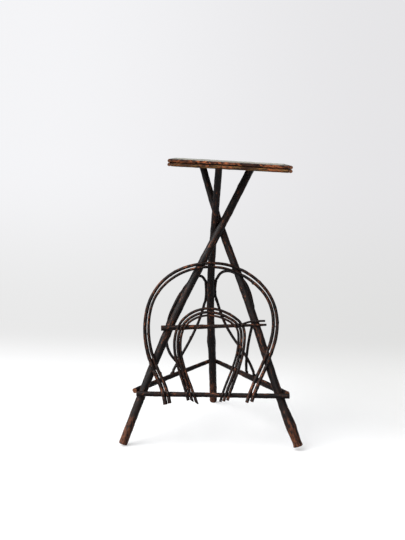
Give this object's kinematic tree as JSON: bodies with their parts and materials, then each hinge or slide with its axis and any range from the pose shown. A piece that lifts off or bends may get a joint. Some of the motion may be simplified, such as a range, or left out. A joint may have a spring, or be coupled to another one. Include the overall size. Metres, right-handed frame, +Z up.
{
  "type": "rustic twig stand table",
  "caption": "Small rustic stand table: a square twig-edged top on crossed sapling legs, with lower stretchers, a forked rail and bent-twig horseshoe arches.",
  "frame": {"origin": "on the floor, at the middle of the ground that the whole stand covers", "axes": "+Z up, -Y is the front with the horseshoe arches, +X to the right seen from the front"},
  "size_m": [0.5061, 0.452, 0.7843],
  "materials": {
    "leg_bark": "dark stained hickory bark, rubbed through on the knots, low sheen",
    "stretcher_bark": "dark stained bark, low sheen",
    "arch_bark": "thin bent shoots, dark stained bark with red-brown rubbed patches",
    "edge_bark": "lighter brown bark, worn along the top",
    "top_wood": "weathered grey-green board",
    "nail_steel": "dark cut steel nails, dull"
  },
  "bodies": {
    "root": {"leg_left": "leg_bark", "leg_right": "leg_bark", "leg_back": "leg_bark", "stretcher_front": "stretcher_bark", "stretcher_back_left": "stretcher_bark", "stretcher_back_right": "stretcher_bark", "mid_rail": "stretcher_bark", "big_arch_outer": "arch_bark", "big_arch_inner": "arch_bark", "small_arch_outer": "arch_bark", "small_arch_middle": "arch_bark", "small_arch_inner": "arch_bark", "loop_back_left": "arch_bark", "loop_back_right": "arch_bark", "top_board": "top_wood", "edge_twig_right_lower": "edge_bark", "edge_twig_right_upper": "edge_bark", "edge_twig_back_lower": "edge_bark", "edge_twig_back_upper": "edge_bark", "edge_twig_left_lower": "edge_bark", "edge_twig_left_upper": "edge_bark", "edge_twig_front_lower": "edge_bark", "edge_twig_front_upper": "edge_bark", "nails_board": "nail_steel", "nails_waist": "nail_steel", "nails_stretchers": "nail_steel", "nails_rail": "nail_steel", "nails_edging": "nail_steel"}
  },
  "joints": []
}
